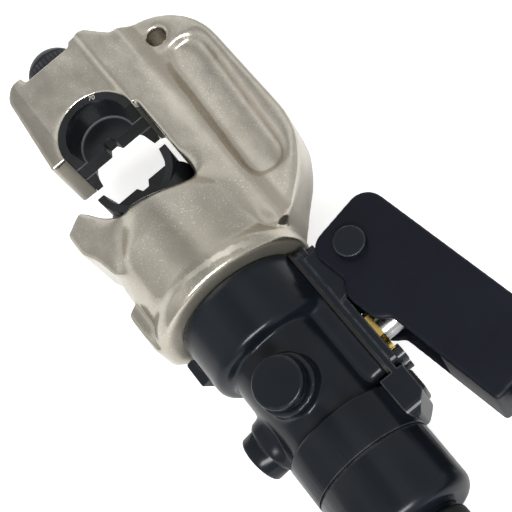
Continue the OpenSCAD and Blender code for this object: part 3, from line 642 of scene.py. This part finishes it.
class CRIMPER_OT_dies(bpy.types.Operator):
    """Finishes the dies, the ram and its pieces"""
    bl_idname = "crimper.dies"
    bl_label = "Dies and ram"

    def execute(self, context):
        coat("black_oxide", "upper_die", "lower_die", "ram")
        worn_edges(context.scene.crimper_sizes.edge_wear, "upper_die", "lower_die")
        coat("steel", "ram_die_pin", "ram_return_spring", "button_spring", "head_retaining_ring")
        coat("rubber", "ram_seal", "swivel_seal")
        coat("black_plastic", "die_release_button")
        return {"FINISHED"}


class CRIMPER_OT_marks(bpy.types.Operator):
    """Puts the plain size number on the upper die's rim"""
    bl_idname = "crimper.marks"
    bl_label = "Die size mark"

    def execute(self, context):
        words = bpy.data.curves.new("upper_die_mark", "FONT")
        words.body = DIE_SIZE_MARK
        words.size = MARK_HEIGHT
        words.extrude = MARK_THICK
        words.align_x = "CENTER"
        words.align_y = "CENTER"
        piece = baked(new_piece("upper_die_mark", words))
        out = Vector((math.cos(MARK_ANGLE), math.sin(MARK_ANGLE), 0.0))
        turn = Matrix((Vector((out.y, -out.x, 0.0)), out, Vector((0.0, 0.0, 1.0)))).transposed()
        place = Vector((0.0, 0.0, DIE_FACE_Z)) + MARK_RADIUS * out
        piece.data.transform(Matrix.Translation(place) @ turn.to_4x4())
        keep_piece(piece, "head", "mark_fill")
        return {"FINISHED"}


class CRIMPER_OT_pump(bpy.types.Operator):
    """Finishes the cylinder, the pump and its valves"""
    bl_idname = "crimper.pump"
    bl_label = "Cylinder and pump"

    def execute(self, context):
        sizes = context.scene.crimper_sizes
        piece = soft_copy(
            "cast_body", "cylinder_body", sizes.head_grid, (sizes.cast_soft, skin_weight))
        open_bore(piece, 1, PUMP_AXIS, PUMP_BORE_R, *PUMP_BORE_SPAN)
        keep_piece(piece, "base", "black_paint", "cylinder_body")
        painted = ("front_plug", "side_plug", "flange_plate", "pivot_bracket", "release_lever",
                   "pivot_pin")
        coat("black_paint", *painted)
        worn_edges(sizes.edge_wear, *painted)
        coat("rubber", "flange_gasket", "plunger_seal")
        coat("steel", "pivot_circlip", "pump_plunger", "check_ball", "release_pin")
        coat("brass", "plunger_gland", "relief_valve", "release_valve")
        coat("black_oxide", "bracket_screws")
        return {"FINISHED"}


def ring_tree():
    """A row of rubber rings along a grip, from named sizes."""
    tree = bpy.data.node_groups.new("grip_rings", "GeometryNodeTree")
    sockets = {}
    for name, kind in (("Count", "NodeSocketInt"), ("Ring Radius", "NodeSocketFloat"),
                       ("Rib Radius", "NodeSocketFloat"), ("First", "NodeSocketVector"),
                       ("Step", "NodeSocketVector"), ("Turn", "NodeSocketRotation"),
                       ("Finish", "NodeSocketMaterial")):
        sockets[name] = tree.interface.new_socket(name, in_out="INPUT", socket_type=kind).identifier
    tree.interface.new_socket("Rings", in_out="OUTPUT", socket_type="NodeSocketGeometry")
    start = tree.nodes.new("NodeGroupInput")
    end = tree.nodes.new("NodeGroupOutput")

    def add(kind, settings=None, **links):
        made = tree.nodes.new(kind)
        for key, value in (settings or {}).items():
            setattr(made, key, value)
        for key, value in links.items():
            socket = made.inputs[key.replace("_", " ")]
            if isinstance(value, bpy.types.NodeSocket):
                tree.links.new(value, socket)
            else:
                socket.default_value = value
        return made.outputs[0]

    line = add("GeometryNodeMeshLine", {"mode": "OFFSET"}, Count=start.outputs["Count"],
               Start_Location=start.outputs["First"], Offset=start.outputs["Step"])
    path = add("GeometryNodeCurvePrimitiveCircle", Resolution=RING_SIDES,
               Radius=start.outputs["Ring Radius"])
    rib = add("GeometryNodeCurvePrimitiveCircle", Resolution=RIB_SIDES,
              Radius=start.outputs["Rib Radius"])
    ring = add("GeometryNodeCurveToMesh", Curve=path, Profile_Curve=rib)
    rings = add("GeometryNodeInstanceOnPoints", Points=line, Instance=ring,
                Rotation=start.outputs["Turn"])
    real = add("GeometryNodeRealizeInstances", Geometry=rings)
    coated = add("GeometryNodeSetMaterial", Geometry=real, Material=start.outputs["Finish"])
    tree.links.new(coated, end.inputs[0])
    return tree, sockets


def grip_rings(name, body, count, ring_r, rib_r, first, last, turn):
    """Rubber rings half sunk in a grip that is turned round Z, as one plain mesh."""
    tree, sockets = ring_tree()
    piece = new_piece(name, bpy.data.meshes.new(name))
    maker = piece.modifiers.new("rings", "NODES")
    maker.node_group = tree
    values = {"Count": count, "Ring Radius": ring_r, "Rib Radius": rib_r, "First": first,
              "Step": (last - first) / (count - 1), "Turn": (0.0, math.radians(90.0), turn),
              "Finish": finish_of("rubber")}
    for key, value in values.items():
        maker[sockets[key]] = value
    piece = baked(piece)
    smooth_faces(piece)
    return keep_piece(piece, body, "rubber")


class CRIMPER_OT_lever(bpy.types.Operator):
    """Makes the pressed lever and finishes what it carries"""
    bl_idname = "crimper.lever"
    bl_label = "Pump lever"

    def execute(self, context):
        sizes = context.scene.crimper_sizes
        piece = soft_copy(
            "pressed_lever", "lever_channel", sizes.lever_grid, (sizes.lever_soft, everywhere))
        keep_piece(piece, "pump_lever", "lever_coat", "lever_channel")
        coat("steel", "push_roller", "roller_pin")
        coat("black_paint", "lever_tube")
        along = Vector((math.cos(LEVER_OPEN), math.sin(LEVER_OPEN), 0.0))
        across = Vector((-along.y, along.x, 0.0))
        first, last = (LEVER_PIVOT + reach * along + LEVER_AXIS * across
                       for reach in (LEVER_RIB_FIRST, LEVER_RIB_LAST))
        grip_rings("lever_grip_rings", "pump_lever", sizes.lever_rib_count, LEVER_RIB_R,
                   sizes.rib_thick, first, last, LEVER_OPEN)
        coat("rubber", "lever_grip")
        coat("black_plastic", "lever_end_cap")
        return {"FINISHED"}


class CRIMPER_OT_handle(bpy.types.Operator):
    """Finishes the reservoir, the fixed handle and its grip"""
    bl_idname = "crimper.handle"
    bl_label = "Reservoir and handle"

    def execute(self, context):
        sizes = context.scene.crimper_sizes
        painted = ("reservoir_collar", "reservoir_sleeve", "handle_tube")
        coat("black_paint", *painted)
        worn_edges(sizes.edge_wear, *painted)
        coat("rubber", "fixed_grip", "oil_bladder")
        coat("black_plastic", "end_cap")
        coat("steel", "filler_screw")
        first, last = (Vector((x, 0.0, 0.0)) for x in (GRIP_RIB_FIRST, GRIP_RIB_LAST))
        grip_rings("fixed_grip_rings", "base", sizes.rib_count, GRIP_RIB_R, sizes.rib_thick,
                   first, last, 0.0)
        return {"FINISHED"}


# Stage

AIM = Vector((96.8, 19.93, 0.0)) * MM
FOCAL_PIXELS = 1400.0
DISTANCE = 660.0 * MM
TILT = math.radians(25.9)
TURN = math.radians(50.04)
CLIP_START, CLIP_END = 0.01, 20.0
FLOOR_REACH = 4.0
FLOOR_DROP = 0.1 * MM
FLOOR_TONES = (0.86, 0.86, 0.86), (0.88, 0.88, 0.88)
FLOOR_GLOW = 0.62
FLOOR_SHEEN = 0.05
WHITE = (1.0, 1.0, 1.0, 1.0)
# Light of the sky from -Y over the top to +Y, and where it changes, as the Y of its direction
HORIZON_LIGHT = 0.42
OPEN_SIDE_LIGHT = 0.76
OVERHEAD_LIGHT = 0.43
PANEL_LIGHT = 0.88
LEVER_SIDE_LIGHT = 0.64
HORIZON_ENDS = (-0.95, -0.65)
OPEN_SIDE_ENDS = (-0.6, -0.15)
OVERHEAD_ENDS = (-0.06, 0.12)
PANEL_ENDS = (0.4, 0.62)
# Lamps: name, place and width and height in metres, power in watts
LAMPS = (
    ("key", (-0.3, -1.1, 0.6), 1.4, 1.0, 0.7),
    ("top", (0.95, -0.2, 0.95), 0.9, 0.3, 20.0),
)


def place_camera(scene):
    """The photo's camera."""
    back = Vector((math.sin(TILT), 0.0, math.cos(TILT)))
    along = Vector((1.0, 0.0, 0.0))
    along = (along - along.dot(back) * back).normalized()
    across = back.cross(along)
    right = math.cos(TURN) * along + math.sin(TURN) * across
    up = -math.sin(TURN) * along + math.cos(TURN) * across
    lens = bpy.data.cameras.new("camera")
    lens.sensor_fit = "HORIZONTAL"
    lens.angle = 2.0 * math.atan(PHOTO_PIXELS / 2.0 / FOCAL_PIXELS)
    lens.clip_start = CLIP_START
    lens.clip_end = CLIP_END
    camera = new_piece("camera", lens)
    turn = Matrix((right, up, back)).transposed().to_4x4()
    camera.matrix_world = Matrix.Translation(AIM + DISTANCE * back) @ turn
    scene.camera = camera


def lay_floor():
    """A pale floor that looks white and keeps the shadow."""
    low = CAD_LOW.z - FLOOR_DROP
    corners = ((-1, -1), (1, -1), (1, 1), (-1, 1))
    mesh = bpy.data.meshes.new("floor")
    mesh.from_pydata(
        [(x * FLOOR_REACH, y * FLOOR_REACH, low) for x, y in corners], [], [(0, 1, 2, 3)])
    floor = new_piece("floor", mesh)
    f = Finish("pale_floor")
    path = f.node("ShaderNodeLightPath", out="Is Camera Ray")
    gloss = f.node("ShaderNodeLightPath", out="Is Glossy Ray")
    tone = f.blend(f.noise(3.0, 2.0, 0.5), *FLOOR_TONES)
    pale = f.node("ShaderNodeBsdfDiffuse", None, {"Color": tone})
    glow = f.node("ShaderNodeEmission", None, {
        "Color": WHITE, "Strength": path * FLOOR_GLOW + gloss * FLOOR_SHEEN})
    both = f.node("ShaderNodeAddShader", None, {0: pale, 1: glow})
    f.node("ShaderNodeOutputMaterial", None, {"Surface": both})
    mesh.materials.append(f.material)


def light_sky(scene):
    """Soft light all round, in broad bands."""
    world = bpy.data.worlds.new("studio")
    scene.world = world
    sky = Finish("sky", world)
    side = sky.axis("Y")
    strength = (sky.spread(side, *HORIZON_ENDS, HORIZON_LIGHT, OPEN_SIDE_LIGHT)
                - sky.spread(side, *OPEN_SIDE_ENDS, 0.0, OPEN_SIDE_LIGHT - OVERHEAD_LIGHT)
                + sky.spread(side, *OVERHEAD_ENDS, 0.0, PANEL_LIGHT - OVERHEAD_LIGHT)
                - sky.spread(side, *PANEL_ENDS, 0.0, PANEL_LIGHT - LEVER_SIDE_LIGHT))
    light = sky.node("ShaderNodeBackground", None, {"Color": WHITE, "Strength": strength})
    sky.node("ShaderNodeOutputWorld", None, {"Surface": light})


def hang_lamps():
    """Large lamps that face the tool."""
    for name, place, wide, high, power in LAMPS:
        lamp = bpy.data.lights.new(name, "AREA")
        lamp.shape = "RECTANGLE"
        lamp.size = wide
        lamp.size_y = high
        lamp.energy = power
        light = new_piece(name, lamp)
        light.location = Vector(place)
        light.rotation_euler = (AIM - light.location).to_track_quat("-Z", "Y").to_euler()


class CRIMPER_OT_stage(bpy.types.Operator):
    """Makes the floor, the soft light and the camera"""
    bl_idname = "crimper.stage"
    bl_label = "Stage"

    def execute(self, context):
        context.scene.view_settings.view_transform = "Standard"
        place_camera(context.scene)
        lay_floor()
        light_sky(context.scene)
        hang_lamps()
        return {"FINISHED"}


class CRIMPER_PT_panel(bpy.types.Panel):
    """Lists the tool's pieces, sizes and colours"""
    bl_idname = "CRIMPER_PT_panel"
    bl_label = "Crimping tool"
    bl_space_type = "VIEW_3D"
    bl_region_type = "UI"
    bl_category = "Crimper"

    def draw(self, context):
        for step in STEPS:
            self.layout.operator(step.bl_idname)
        for group in (context.scene.crimper_sizes, context.scene.crimper_colours):
            for name in group.__annotations__:
                self.layout.prop(group, name)


STEPS = (CRIMPER_OT_stage, CRIMPER_OT_head, CRIMPER_OT_dies, CRIMPER_OT_marks, CRIMPER_OT_pump,
         CRIMPER_OT_lever, CRIMPER_OT_handle)
CLASSES = (CrimperSizes, CrimperColours, *STEPS, CRIMPER_PT_panel)


def register():
    for made in CLASSES:
        bpy.utils.register_class(made)
    bpy.types.Scene.crimper_sizes = bpy.props.PointerProperty(type=CrimperSizes)
    bpy.types.Scene.crimper_colours = bpy.props.PointerProperty(type=CrimperColours)


def unregister():
    del bpy.types.Scene.crimper_colours
    del bpy.types.Scene.crimper_sizes
    for made in reversed(CLASSES):
        bpy.utils.unregister_class(made)


def main():
    register()
    for step in STEPS:
        getattr(bpy.ops.crimper, step.bl_idname.split(".")[1])()


if __name__ == "__main__":
    main()
